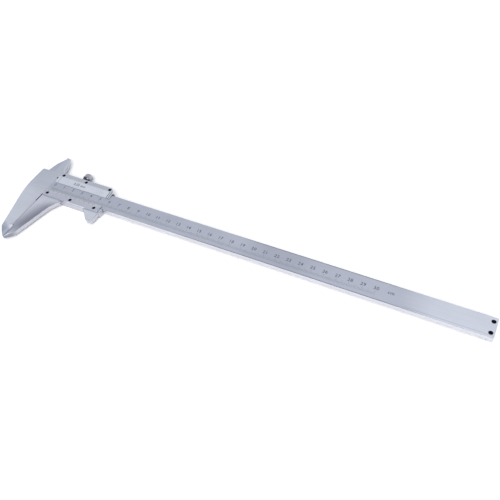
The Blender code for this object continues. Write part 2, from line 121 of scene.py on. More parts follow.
def groundSteel(name, look):
    # Stainless steel, surface ground then satin chromed: soft streaks along the grinding
    # direction, faint cloudy handling marks, and a broad highlight.
    material, tree, shader = newMaterial(name)
    coords = addNode(tree, "ShaderNodeTexCoord")
    stretch = [1 / (size * mm) for size in look["streak"]]
    streakPlace = addNode(tree, "ShaderNodeMapping", {
        "Vector": coords.outputs["Object"], "Scale": stretch,
    })
    streaks = addNode(tree, "ShaderNodeTexNoise", {
        "Vector": streakPlace.outputs["Vector"], "Scale": 1.0, "Detail": 4.0, "Roughness": 0.6,
    })
    clouds = addNode(tree, "ShaderNodeTexNoise", {
        "Vector": coords.outputs["Object"], "Scale": 1 / (look["cloud"] * mm), "Detail": 3.0,
    })
    grit = addNode(tree, "ShaderNodeTexNoise", {
        "Vector": coords.outputs["Object"], "Scale": 1 / (look["grit"] * mm), "Detail": 2.0,
    })
    blend = addNode(tree, "ShaderNodeMix", {
        "Factor": look["cloudShare"], 2: streaks.outputs["Fac"], 3: clouds.outputs["Fac"],
    }, data_type="FLOAT")
    tone = colourRamp(tree, blend.outputs[0], [
        (0.30, hexColour(look["dark"])), (0.70, hexColour(look["light"])),
    ])
    gloss = addNode(tree, "ShaderNodeMapRange", {
        "Value": blend.outputs[0], "From Min": 0.3, "From Max": 0.7,
        "To Min": look["roughness"][0], "To Max": look["roughness"][1],
    })
    height = addNode(tree, "ShaderNodeMath", {
        0: streaks.outputs["Fac"], 1: grit.outputs["Fac"],
    }, operation="ADD")
    bump = addNode(tree, "ShaderNodeBump", {
        "Height": height.outputs[0], "Strength": look["bump"], "Distance": look["depth"] * mm,
    })
    colour = tone.outputs["Color"]
    upward = addNode(tree, "ShaderNodeSeparateXYZ", {"Vector": coords.outputs["Normal"]}).outputs["Z"]
    rising = addNode(tree, "ShaderNodeMapRange", {"Value": upward, "From Min": 0.10, "From Max": 0.30})
    falling = addNode(tree, "ShaderNodeMapRange", {"Value": upward, "From Min": 0.90, "From Max": 0.80})
    edge = addNode(tree, "ShaderNodeMath", {
        0: rising.outputs["Result"], 1: falling.outputs["Result"],
    }, operation="MULTIPLY")
    front = addNode(tree, "ShaderNodeMath", {0: upward, 1: 0.0}, operation="MAXIMUM")
    side = addNode(tree, "ShaderNodeMath", {0: 1.0, 1: rising.outputs["Result"]}, operation="SUBTRACT")
    # which way the surface faces, so that bevels and side faces can take painted shade
    facing = {
        "front": front.outputs[0],
        "edge": edge.outputs[0],
        "side": side.outputs[0],
        "all": addNode(tree, "ShaderNodeValue").outputs[0],
    }
    facing["all"].default_value = 1.0
    for zone in look.get("zones", ()):
        # part of the surface with its own tint, which on most zones is painted shade: each slope runs from a
        # point along a direction
        share = facing[zone.get("facing", "front")]
        for origin, direction, start, end in zone["slopes"]:
            shifted = addNode(tree, "ShaderNodeVectorMath", {
                0: coords.outputs["Object"], 1: place(*origin),
            }, operation="SUBTRACT")
            along = addNode(tree, "ShaderNodeVectorMath", {
                0: shifted.outputs["Vector"], 1: Vector(direction).normalized(),
            }, operation="DOT_PRODUCT")
            slope = addNode(tree, "ShaderNodeMapRange", {
                "Value": along.outputs["Value"], "From Min": start * mm, "From Max": end * mm,
            }, interpolation_type="SMOOTHSTEP")
            share = addNode(tree, "ShaderNodeMath", {
                0: share, 1: slope.outputs["Result"],
            }, operation="MULTIPLY", use_clamp=True).outputs[0]
        colour = addNode(tree, "ShaderNodeMix", {
            "Factor": share, 6: colour, 7: hexColour(zone["tint"]),
        }, data_type="RGBA", blend_type="MULTIPLY").outputs[2]
    tree.links.new(colour, shader.inputs["Base Color"])
    tree.links.new(gloss.outputs["Result"], shader.inputs["Roughness"])
    tree.links.new(bump.outputs["Normal"], shader.inputs["Normal"])
    shader.inputs["Metallic"].default_value = 1.0
    return material


beamSteelLook = {
    "streak": (28.0, 0.35, 0.35),   # grinding runs along the beam; drawn coarser than the real grit
    "cloud": 22.0, "cloudShare": 0.4, "grit": 0.25,
    "dark": "#cbced7", "light": "#dadde5",
    "roughness": (0.30, 0.42), "bump": 0.25, "depth": 0.02,
    "zones": (
        # painted shade: the graduated stretch is darker, and the bar is bright again past the last number
        {"tint": "#e3e4e8", "slopes": (
            ((0, 0, 0), (1, 0, 0), -2.0, 1.0), ((352, 0, 0), (-1, 0, 0), 0.0, 34.0),
        )},
        # painted shade: a slightly darker stretch in the middle
        {"tint": "#f2f2f3", "slopes": (
            ((185, 0, 0), (1, 0, 0), 0.0, 30.0), ((275, 0, 0), (-1, 0, 0), 0.0, 40.0),
        )},
        # the crown above the jaw is a little darker than the jaw itself
        {"tint": "#f0f1f2", "slopes": (
            ((-11, -8, 0), (0, 1, 0), 0.0, 14.0), ((0, 0, 0), (-1, 0, 0), -1.0, 1.0),
        )},
        # the nose of the fixed jaw is cooler and darker, most of all at its tip
        {"tint": "#e2e7ea", "slopes": (((-4, -45, 0), (-0.5, -1, 0), 0.0, 3.0),)},
        {"tint": "#e4e5e8", "slopes": (((0, -47, 0), (0, -1, 0), 0.0, 4.0),)},
        # painted shade: narrow dark lines just inside both long edges
        {"tint": "#75767e", "slopes": (
            ((0, 16.7, 0), (0, 1, 0), 0.0, 0.4),
            ((340, 0, 0), (-1, 0, 0), 0.0, 40.0), ((175, 0, 0), (1, 0, 0), 0.0, 40.0),
        )},
        {"tint": "#9a9ba3", "slopes": (
            ((0, 0.6, 0), (0, -1, 0), 0.0, 0.3),
            ((350, 0, 0), (-1, 0, 0), 0.0, 40.0), ((90, 0, 0), (1, 0, 0), 0.0, 90.0),
        )},
        # painted reflection: the side faces take a faint warm tint
        {"tint": "#faf7f4", "facing": "side", "slopes": (((2, 0, 0), (1, 0, 0), 0.0, 1.0),)},
        # a faint line along the plain end, near the lower edge
        {"tint": "#dddee5", "slopes": (
            ((0, 1.4, 0), (0, 1, 0), 0.0, 0.2), ((0, 2.0, 0), (0, -1, 0), 0.0, 0.2),
            ((322, 0, 0), (1, 0, 0), 0.0, 6.0),
        )},
        # painted shade on the rounded edges
        {"tint": "#6a6b73", "facing": "edge", "slopes": (((2, 0, 0), (1, 0, 0), 0.0, 1.0),)},
    ),
}
jawSteelLook = {
    "streak": (0.35, 16.0, 0.35),   # the slider is ground across the beam, as its jaws are
    "cloud": 14.0, "cloudShare": 0.45, "grit": 0.25,
    "dark": "#cbced6", "light": "#dbdee5",
    "roughness": (0.30, 0.42), "bump": 0.25, "depth": 0.02,
    "zones": (
        # painted shade: the moving jaw's face darkens towards its outer edge, less so near the tip
        {"tint": "#a9aab3", "slopes": (
            ((3.5, -32.0, 0), (0.933, -0.36, 0), -9.0, 8.5), ((0, -9, 0), (0.3, -1, 0), 0.0, 12.0),
            ((30, 0, 0), (-1, 0, 0), 0.0, 8.0), ((0, -63, 0), (0, 1, 0), 0.0, 26.0),
        )},
        # painted shade on the rounded edges
        {"tint": "#8b8c94", "facing": "edge", "slopes": (((4, 0, 0), (1, 0, 0), 0.0, 2.0),)},
        {"tint": "#e2e3e7", "slopes": (((0, 22, 0), (0, 1, 0), 0.0, 2.0),)},
        # painted shade: the outer side faces are a little darker, and darker still round the tip
        {"tint": "#e6e3e4", "facing": "side", "slopes": (((0, 0, 0), (0, -1, 0), 0.0, 3.0),)},
        {"tint": "#c2c2c8", "facing": "side", "slopes": (((6, -47, 0), (-0.4, -1, 0), 0.0, 7.0),)},
    ),
}
coverSteelLook = {
    "streak": (20.0, 0.30, 0.30),
    "cloud": 12.0, "cloudShare": 0.35, "grit": 0.2,
    "dark": "#cdd0d8", "light": "#dde0e8",
    "roughness": (0.24, 0.34), "bump": 0.2, "depth": 0.015,
    "zones": (
        # painted shade: the plates' raised flats are a little darker than their long bevels
        {"tint": "#e9ecec", "slopes": (((0, 19.3, 0), (0, 1, 0), 0.0, 0.8),)},
        {"tint": "#ececef", "slopes": (((0, -0.1, 0), (0, -1, 0), 0.0, 0.8),)},
        # painted shade: two dark lines across the upper plate's free end, and a fainter one by the jaw
        {"tint": "#5e606a", "slopes": (
            ((57.0, 0, 0), (1, 0, 0), 0.0, 0.25), ((57.9, 0, 0), (-1, 0, 0), 0.0, 0.25),
            ((0, 10.0, 0), (0, 1, 0), 0.0, 0.5), ((0, 20.0, 0), (0, -1, 0), 0.0, 0.5),
        )},
        {"tint": "#5e606a", "slopes": (
            ((58.9, 0, 0), (1, 0, 0), 0.0, 0.25), ((59.8, 0, 0), (-1, 0, 0), 0.0, 0.25),
            ((0, 10.0, 0), (0, 1, 0), 0.0, 0.5), ((0, 20.0, 0), (0, -1, 0), 0.0, 0.5),
        )},
        {"tint": "#b4b6be", "slopes": (
            ((3.2, 0, 0), (1, 0, 0), 0.0, 0.25), ((3.9, 0, 0), (-1, 0, 0), 0.0, 0.25),
            ((0, 10.0, 0), (0, 1, 0), 0.0, 0.5), ((0, 20.0, 0), (0, -1, 0), 0.0, 0.5),
        )},
    ),
}
knobSteelLook = {
    "streak": (6.0, 6.0, 6.0),
    "cloud": 5.0, "cloudShare": 0.5, "grit": 0.15,
    "dark": "#9a9ca3", "light": "#c3c5cb",
    "roughness": (0.26, 0.40), "bump": 0.3, "depth": 0.02,
    # painted shade: the neck and the underside of the head are darker
    "zones": ({"tint": "#a2a3a9", "facing": "all", "slopes": (((25, 27.6, 0), (0, -1, 0), 0.0, 0.6),)},),
}
beamSteel = groundSteel("beamGroundSteel", beamSteelLook)
jawSteel = groundSteel("jawGroundSteel", jawSteelLook)
coverSteel = groundSteel("coverSatinChrome", coverSteelLook)
knobSteel = groundSteel("knobTurnedSteel", knobSteelLook)


blackSteelLook = {
    "speck": 0.6, "tones": ((0.40, "#05050e"), (0.62, "#0c0c17"), (0.80, "#2b2c37")),
    "roughness": (0.35, 0.60), "bump": 0.3, "depth": 0.02, "metallic": 0.6, "specular": 0.25,
}


def blackenedSteel(look):
    # Chemically blackened screw steel: nearly black, a little oily sheen, worn grey specks
    material, tree, shader = newMaterial("blackenedScrewSteel")
    coords = addNode(tree, "ShaderNodeTexCoord")
    specks = addNode(tree, "ShaderNodeTexNoise", {
        "Vector": coords.outputs["Object"], "Scale": 1 / (look["speck"] * mm),
        "Detail": 5.0, "Roughness": 0.7,
    })
    tone = colourRamp(tree, specks.outputs["Fac"], [(at, hexColour(tint)) for at, tint in look["tones"]])
    gloss = addNode(tree, "ShaderNodeMapRange", {
        "Value": specks.outputs["Fac"], "To Min": look["roughness"][0], "To Max": look["roughness"][1],
    })
    bump = addNode(tree, "ShaderNodeBump", {
        "Height": specks.outputs["Fac"], "Strength": look["bump"], "Distance": look["depth"] * mm,
    })
    tree.links.new(tone.outputs["Color"], shader.inputs["Base Color"])
    tree.links.new(gloss.outputs["Result"], shader.inputs["Roughness"])
    tree.links.new(bump.outputs["Normal"], shader.inputs["Normal"])
    shader.inputs["Metallic"].default_value = look["metallic"]
    shader.inputs["Specular IOR Level"].default_value = look["specular"]
    return material


bronzeLook = {
    "streak": (12.0, 0.3, 0.3), "tones": ((0.30, "#6e5a42"), (0.70, "#9a8260")),
    "roughness": 0.42, "bump": 0.3, "depth": 0.02,
}


def rolledBronze(look):
    # Phosphor bronze leaf: warm, rolled along its length, dull with brown tarnish
    material, tree, shader = newMaterial("rolledPhosphorBronze")
    coords = addNode(tree, "ShaderNodeTexCoord")
    rolled = addNode(tree, "ShaderNodeMapping", {
        "Vector": coords.outputs["Object"], "Scale": [1 / (size * mm) for size in look["streak"]],
    })
    lines = addNode(tree, "ShaderNodeTexNoise", {
        "Vector": rolled.outputs["Vector"], "Scale": 1.0, "Detail": 4.0,
    })
    tone = colourRamp(tree, lines.outputs["Fac"], [(at, hexColour(tint)) for at, tint in look["tones"]])
    bump = addNode(tree, "ShaderNodeBump", {
        "Height": lines.outputs["Fac"], "Strength": look["bump"], "Distance": look["depth"] * mm,
    })
    tree.links.new(tone.outputs["Color"], shader.inputs["Base Color"])
    tree.links.new(bump.outputs["Normal"], shader.inputs["Normal"])
    shader.inputs["Metallic"].default_value = 1.0
    shader.inputs["Roughness"].default_value = look["roughness"]
    return material


fillerLook = {"patch": 1.5, "roughness": 0.6}


def engravingInk(name, colour, edge, look):
    # Baked filler in the engraved lines: matt grey, slightly uneven where it is worn
    material, tree, shader = newMaterial(name)
    coords = addNode(tree, "ShaderNodeTexCoord")
    worn = addNode(tree, "ShaderNodeTexNoise", {
        "Vector": coords.outputs["Object"], "Scale": 1 / (look["patch"] * mm),
        "Detail": 4.0, "Roughness": 0.65,
    })
    tone = colourRamp(tree, worn.outputs["Fac"], [(0.35, hexColour(colour)), (0.75, hexColour(edge))])
    tree.links.new(tone.outputs["Color"], shader.inputs["Base Color"])
    shader.inputs["Roughness"].default_value = look["roughness"]
    return material


blackSteel = blackenedSteel(blackSteelLook)
bronze = rolledBronze(bronzeLook)
scaleInk = engravingInk("scaleFiller", "#3c404c", "#5c606c", fillerLook)
numberInk = engravingInk("numberFiller", "#3a3e52", "#585c6c", fillerLook)
print("materials made")


# ---- meshes

def makeObject(name, mesh, material):
    item = bpy.data.objects.new(name, mesh)
    bpy.context.scene.collection.objects.link(item)
    if material:
        item.data.materials.clear()
        item.data.materials.append(material)
    return item


def evaluatedMesh(item, name):
    bpy.context.view_layer.update()
    mesh = bpy.data.meshes.new_from_object(item.evaluated_get(bpy.context.evaluated_depsgraph_get()))
    mesh.name = name
    return mesh


edgeWork = {
    "weld": 0.002,                                       # millimetres
    "flatAngle": 0.4, "sharpAngle": 28,                  # degrees
    "seamShare": 0.25, "segments": 3,
    "sameWay": 0.6, "sliverShare": 0.0004,               # cosine, then area over girth squared
}


def flattenNormals(mesh):
    # each corner takes the normals round its vertex by area, so broad faces shade dead flat;
    # a sliver has no direction of its own and takes its neighbours'
    around = [[] for _ in mesh.vertices]
    for face in mesh.polygons:
        for vertex in face.vertices:
            around[vertex].append((face.normal.copy(), face.area))
    corners = [None] * len(mesh.loops)
    for face in mesh.polygons:
        points = [mesh.vertices[index].co for index in face.vertices]
        girth = sum((after - before).length for before, after in zip(points, points[1:] + points[:1]))
        sliver = face.area < girth ** 2 * edgeWork["sliverShare"]
        for loop in face.loop_indices:
            total = Vector()
            for normal, area in around[mesh.loops[loop].vertex_index]:
                if sliver or normal.dot(face.normal) > edgeWork["sameWay"]:
                    total += normal * area ** 2
            corners[loop] = total.normalized() if total.length > 0 else face.normal.copy()
    mesh.shade_smooth()
    mesh.normals_split_custom_set(corners)


def softened(node, name, material, width, seam=None):
    # a copy of the node with its flat faces made whole and every edge rounded; edges inside the
    # seam box, where two jaws meet, are kept crisp
    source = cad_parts[node].data
    mesh = bpy.data.meshes.new(name)
    shape = bmesh.new()
    shape.from_mesh(source)
    bmesh.ops.remove_doubles(shape, verts=shape.verts, dist=edgeWork["weld"] * mm)
    bmesh.ops.dissolve_limit(
        shape, angle_limit=math.radians(edgeWork["flatAngle"]), verts=shape.verts, edges=shape.edges,
        use_dissolve_boundaries=False,
    )
    weights = shape.edges.layers.float.new("bevel_weight_edge")
    for line in shape.edges:
        if line.is_manifold and line.calc_face_angle() > math.radians(edgeWork["sharpAngle"]):
            ends = [vertex.co for vertex in line.verts]
            inSeam = seam and all(seam[0][i] < end[i] < seam[1][i] for end in ends for i in range(2))
            line[weights] = edgeWork["seamShare"] if inSeam else 1.0
    shape.to_mesh(mesh)
    shape.free()
    rough = makeObject(name + "_rough", mesh, material)
    bevel = rough.modifiers.new("edges", "BEVEL")
    bevel.width = width * mm
    bevel.segments = edgeWork["segments"]
    bevel.limit_method = "WEIGHT"
    bevel.use_clamp_overlap = False
    bevel.miter_outer = "MITER_ARC"
    piece = makeObject(name, evaluatedMesh(rough, name), material)
    bpy.data.objects.remove(rough)
    flattenNormals(piece.data)
    return piece


def finishPiece(piece, body, slot, *nodes):
    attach(piece, body)
    if nodes:
        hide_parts(*nodes)
    return piece


def bakeTree(name, tree, values, material, transform):
    # runs a geometry tree on an empty object, then keeps only its plain mesh
    carrier = makeObject(name + "_carrier", bpy.data.meshes.new(name + "_carrier"), None)
    modifier = carrier.modifiers.new("make", "NODES")
    modifier.node_group = tree
    sockets = {item.name: item.identifier for item in tree.interface.items_tree if item.in_out == "INPUT"}
    for key, value in values.items():
        modifier[sockets[key]] = value
    modifier[sockets["Material"]] = material
    mesh = evaluatedMesh(carrier, name)
    bpy.data.objects.remove(carrier)
    mesh.transform(transform)
    return makeObject(name, mesh, material)


def treeWithInputs(name, inputs):
    # a geometry tree with named inputs: "Int" or "Float" sizes, and the material
    tree = bpy.data.node_groups.new(name, "GeometryNodeTree")
    tree.is_modifier = True
    for key, kind in inputs.items():
        tree.interface.new_socket(key, in_out="INPUT", socket_type=f"NodeSocket{kind}")
    tree.interface.new_socket("Material", in_out="INPUT", socket_type="NodeSocketMaterial")
    tree.interface.new_socket("Geometry", in_out="OUTPUT", socket_type="NodeSocketGeometry")
    start = addNode(tree, "NodeGroupInput")
    return tree, start


def closeTree(tree, start, geometry):
    real = addNode(tree, "GeometryNodeRealizeInstances", {"Geometry": geometry})
    painted = addNode(tree, "GeometryNodeSetMaterial", {
        "Geometry": real.outputs["Geometry"], "Material": start.outputs["Material"],
    })
    addNode(tree, "NodeGroupOutput", {"Geometry": painted.outputs["Geometry"]})
    return tree


def graduationTree():
    # bars in a row along X; every fifth and every tenth is longer
    tree, start = treeWithInputs("graduationLines", {
        "Count": "Int", "Pitch": "Float", "Width": "Float", "Height": "Float",
        "Short": "Float", "Middle": "Float", "Long": "Float",
        "Middle Step": "Int", "Long Step": "Int",
    })
    row = addNode(tree, "GeometryNodeMeshLine", {
        "Count": start.outputs["Count"],
        "Offset": addNode(tree, "ShaderNodeCombineXYZ", {"X": start.outputs["Pitch"]}).outputs["Vector"],
    }, mode="OFFSET")
    index = addNode(tree, "GeometryNodeInputIndex").outputs["Index"]
    isStep = []
    for step in ("Middle Step", "Long Step"):
        rest = addNode(tree, "FunctionNodeIntegerMath", {
            0: index, 1: start.outputs[step],
        }, operation="MODULO")
        even = addNode(tree, "FunctionNodeCompare", {
            2: rest.outputs[0], 3: 0,
        }, data_type="INT", operation="EQUAL")
        isStep.append(even.outputs["Result"])
    middle = addNode(tree, "GeometryNodeSwitch", {
        "Switch": isStep[0], "False": start.outputs["Short"], "True": start.outputs["Middle"],
    }, input_type="FLOAT")
    length = addNode(tree, "GeometryNodeSwitch", {
        "Switch": isStep[1], "False": middle.outputs[0], "True": start.outputs["Long"],
    }, input_type="FLOAT")
    bar = addNode(tree, "GeometryNodeMeshCube")
    lifted = addNode(tree, "GeometryNodeTransform", {
        "Geometry": bar.outputs["Mesh"], "Translation": (0.0, 0.5, 0.5),
    })
    size = addNode(tree, "ShaderNodeCombineXYZ", {
        "X": start.outputs["Width"], "Y": length.outputs[0], "Z": start.outputs["Height"],
    })
    bars = addNode(tree, "GeometryNodeInstanceOnPoints", {
        "Points": row.outputs["Mesh"], "Instance": lifted.outputs["Geometry"],
        "Scale": size.outputs["Vector"],
    })
    return closeTree(tree, start, bars.outputs["Instances"])


def knurlTree():
    # ridges round a cylinder whose axis is Z
    tree, start = treeWithInputs("straightKnurl", {
        "Ridges": "Int", "Radius": "Float", "Length": "Float", "Ridge Width": "Float",
    })
    ring = addNode(tree, "GeometryNodeMeshCircle", {
        "Vertices": start.outputs["Ridges"], "Radius": start.outputs["Radius"],
    })
    ridge = addNode(tree, "GeometryNodeMeshCylinder", {
        "Vertices": 6, "Radius": start.outputs["Ridge Width"], "Depth": start.outputs["Length"],
    })
    outward = addNode(tree, "GeometryNodeInputPosition").outputs["Position"]
    turn = addNode(tree, "FunctionNodeAlignRotationToVector", {"Vector": outward}, axis="X")
    ridges = addNode(tree, "GeometryNodeInstanceOnPoints", {
        "Points": ring.outputs["Mesh"], "Instance": ridge.outputs["Mesh"],
        "Rotation": turn.outputs["Rotation"],
    })
    return closeTree(tree, start, ridges.outputs["Instances"])


def ribTree():
    # half-round ribs in a row along X, each standing along Z
    tree, start = treeWithInputs("thumbRibs", {
        "Count": "Int", "Pitch": "Float", "Radius": "Float", "Length": "Float",
    })
    row = addNode(tree, "GeometryNodeMeshLine", {
        "Count": start.outputs["Count"],
        "Offset": addNode(tree, "ShaderNodeCombineXYZ", {"X": start.outputs["Pitch"]}).outputs["Vector"],
    }, mode="OFFSET")
    rib = addNode(tree, "GeometryNodeMeshCylinder", {
        "Vertices": 10, "Radius": start.outputs["Radius"], "Depth": start.outputs["Length"],
    })
    ribs = addNode(tree, "GeometryNodeInstanceOnPoints", {
        "Points": row.outputs["Mesh"], "Instance": rib.outputs["Mesh"],
    })
    return closeTree(tree, start, ribs.outputs["Instances"])


graduations = graduationTree()
knurl = knurlTree()
ribs = ribTree()


lettering = {"curveSteps": 3, "boldness": 0.012, "spacing": 1.08, "weld": 0.0005}


def flatText(body, size, thickness, transform):
    # one number or word as a thin closed solid, lying in the XY plane of the transform
    curve = bpy.data.curves.new(body, "FONT")
    curve.body = body
    curve.size = size * mm
    curve.extrude = thickness / 2 * mm
    curve.align_x = "CENTER"
    curve.align_y = "CENTER"
    curve.resolution_u = lettering["curveSteps"]
    curve.offset = size * lettering["boldness"] * mm
    curve.space_character = lettering["spacing"]
    carrier = bpy.data.objects.new(body, curve)
    bpy.context.scene.collection.objects.link(carrier)
    mesh = evaluatedMesh(carrier, body)
    bpy.data.objects.remove(carrier)
    bpy.data.curves.remove(curve)
    mesh.transform(transform)
    return mesh


def joinMeshes(name, meshes, material):
    shape = bmesh.new()
    for mesh in meshes:
        shape.from_mesh(mesh)
    bmesh.ops.remove_doubles(shape, verts=shape.verts, dist=lettering["weld"] * mm)
    joined = bpy.data.meshes.new(name)
    shape.to_mesh(joined)
    shape.free()
    for mesh in meshes:
        bpy.data.meshes.remove(mesh)
    return makeObject(name, joined, material)


def turnedMesh(name, profile, sides):
    # radius and height pairs, from the top of the outer side to its base, turned round Z;
    # the corners are laid in a fixed order, so each run gives the same mesh
    points, rings = [], []
    for radius, height in profile:
        first = len(points)
        if radius == 0:
            points.append((0, 0, height * mm))
            rings.append([first] * sides)
            continue
        for step in range(sides):
            angle = math.tau * step / sides
            points.append((radius * math.cos(angle) * mm, radius * math.sin(angle) * mm, height * mm))
        rings.append([first + step for step in range(sides)])
    faces = []
    for upper, lower in zip(rings, rings[1:]):
        for step in range(sides):
            after = (step + 1) % sides
            corners = (upper[step], lower[step], lower[after], upper[after])
            faces.append(tuple(dict.fromkeys(corners)))   # at a pole, two corners are one
    mesh = bpy.data.meshes.new(name)
    mesh.from_pydata(points, [], faces)
    return mesh


# ---- beam and fixed jaw

edgeRadius = {"beam": 0.22, "slider": 0.25, "upperCover": 0.10, "vernierCover": 0.08}
jawSeam = (place(-0.5, -60, 0), place(0.7, 30, 0))   # opposite corners, seen from the front
beamPiece = finishPiece(
    softened("beam_and_fixed_jaw", "beamAndFixedJaw", beamSteel, edgeRadius["beam"], jawSeam),
    "beam", "ground_steel", "beam_and_fixed_jaw",
)

mainScale = {
    "pitch": 1.0, "lineWidth": 0.14, "lineHeight": 0.02,
    "short": 2.3, "middle": 3.2, "long": 4.1,
    "base": 3.4, "numberSize": 4.1, "numberY": 9.7, "firstLine": 3.3,
    "unitX": 314.5,
}
mainLines = bakeTree("mainScaleLines", graduations, {
    "Count": caliper["readingRange"] + 1, "Pitch": mainScale["pitch"] * mm,
    "Width": mainScale["lineWidth"] * mm, "Height": mainScale["lineHeight"] * mm,
    "Short": mainScale["short"] * mm, "Middle": mainScale["middle"] * mm, "Long": mainScale["long"] * mm,
    "Middle Step": 5, "Long Step": 10,
}, scaleInk, Matrix.Translation(place(mainScale["firstLine"], mainScale["base"], caliper["beamTop"])))
finishPiece(mainLines, "beam", "black_steel")

numberMeshes = []
for number in range(caliper["readingRange"] // 10 + 1):
    spot = place(mainScale["firstLine"] + 10 * number, mainScale["numberY"], caliper["beamTop"])
    numberMeshes.append(flatText(
        str(number), mainScale["numberSize"], mainScale["lineHeight"], Matrix.Translation(spot)
    ))
unitSpot = place(mainScale["unitX"], mainScale["numberY"], caliper["beamTop"])
numberMeshes.append(flatText(
    "cm", mainScale["numberSize"], mainScale["lineHeight"], Matrix.Translation(unitSpot)
))
finishPiece(joinMeshes("mainScaleNumbers", numberMeshes, numberInk), "beam", "black_steel")
print("beam and main scale made")


# ---- slider

sliderPiece = finishPiece(
    softened("slider_frame", "sliderFrame", jawSteel, edgeRadius["slider"], jawSeam),
    "slider", "ground_steel", "slider_frame",
)
upperCover = finishPiece(
    softened("upper_plate", "upperCover", coverSteel, edgeRadius["upperCover"]),
    "slider", "satin_chrome", "upper_plate",
)
vernierCover = finishPiece(
    softened("vernier_plate", "vernierCover", coverSteel, edgeRadius["vernierCover"]),
    "slider", "satin_chrome", "vernier_plate",
)

vernier = {
    "divisions": 50, "pitch": 0.98, "lineWidth": 0.12, "lineHeight": 0.02,
    "short": 1.3, "middle": 1.9, "long": 1.9,
    "edgeY": 3.15, "edgeHeight": 0.29, "bevelRun": 3.8, "bevelRise": 0.95,
    "numberSize": 1.5, "numberDrop": 2.75,
}
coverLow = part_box("vernier_plate")[0]
slopeAngle = math.atan2(vernier["bevelRise"], vernier["bevelRun"])
edgePoint = Vector((
    zero.x + mainScale["firstLine"] * mm,
    zero.y + vernier["edgeY"] * mm,
    coverLow.z + vernier["edgeHeight"] * mm,
))
# local X along the beam, local Y down the slope away from the window, local Z out of the face
slopeDown = Vector((0, -math.cos(slopeAngle), math.sin(slopeAngle)))
slopeOut = Vector((0, math.sin(slopeAngle), math.cos(slopeAngle)))
lineFrame = Matrix.Translation(edgePoint) @ Matrix((
    (1, 0, 0, 0),
    (0, slopeDown.y, slopeOut.y, 0),
    (0, slopeDown.z, slopeOut.z, 0),
    (0, 0, 0, 1),
))
vernierLines = bakeTree("vernierLines", graduations, {
    "Count": vernier["divisions"] + 1, "Pitch": vernier["pitch"] * mm,
    "Width": vernier["lineWidth"] * mm, "Height": vernier["lineHeight"] * mm,
    "Short": vernier["short"] * mm, "Middle": vernier["middle"] * mm, "Long": vernier["long"] * mm,
    "Middle Step": 5, "Long Step": 10,
}, scaleInk, lineFrame)
vernierLines.data.flip_normals()
finishPiece(vernierLines, "slider", "black_steel")

vernierNumbers = []
textFrame = Matrix((
    (1, 0, 0, 0),
    (0, -slopeDown.y, slopeOut.y, 0),
    (0, -slopeDown.z, slopeOut.z, 0),
    (0, 0, 0, 1),
))
for number in range(11):
    along = Vector((number * 5 * vernier["pitch"] * mm, 0, 0))
    spot = edgePoint + along + slopeDown * vernier["numberDrop"] * mm
    vernierNumbers.append(flatText(
        str(number % 10), vernier["numberSize"], vernier["lineHeight"], Matrix.Translation(spot) @ textFrame
    ))
finishPiece(joinMeshes("vernierNumbers", vernierNumbers, numberInk), "slider", "black_steel")

accuracy = {
    "text": "0.02 mm", "size": 3.4, "height": 0.03, "x": 26.0, "y": 16.3,
    "bevelRun": 7.3, "bevelRise": 0.95, "edgeY": 12.4,
}
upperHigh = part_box("upper_plate")[1]
upperAngle = math.atan2(accuracy["bevelRise"], accuracy["bevelRun"])
rise = (accuracy["y"] - accuracy["edgeY"]) * math.tan(upperAngle)
accuracySpot = Vector((
    zero.x + accuracy["x"] * mm,
    zero.y + accuracy["y"] * mm,
    upperHigh.z - accuracy["bevelRise"] * mm + rise * mm,
))
finishPiece(joinMeshes("accuracyMark", [flatText(
    accuracy["text"], accuracy["size"], accuracy["height"],
    Matrix.Translation(accuracySpot) @ Matrix.Rotation(upperAngle, 4, "X"),
)], scaleInk), "slider", "black_steel")

thumb = {
    "startX": 47.0, "startY": -6.6, "endX": 54.6, "endY": -14.0, "count": 9, "radius": 0.32, "length": 3.2,
}
thumbRun = Vector((thumb["endX"] - thumb["startX"], thumb["endY"] - thumb["startY"], 0))
thumbFrame = (
    Matrix.Translation(place(thumb["startX"], thumb["startY"], caliper["beamTop"] / 2))
    @ Matrix.Rotation(math.atan2(thumbRun.y, thumbRun.x), 4, "Z")
)
finishPiece(bakeTree("thumbRibs", ribs, {
    "Count": thumb["count"], "Pitch": thumbRun.length / (thumb["count"] - 1) * mm,
    "Radius": thumb["radius"] * mm, "Length": thumb["length"] * mm,
}, jawSteel, thumbFrame), "slider", "ground_steel")
print("slider made")


# ---- lock screw

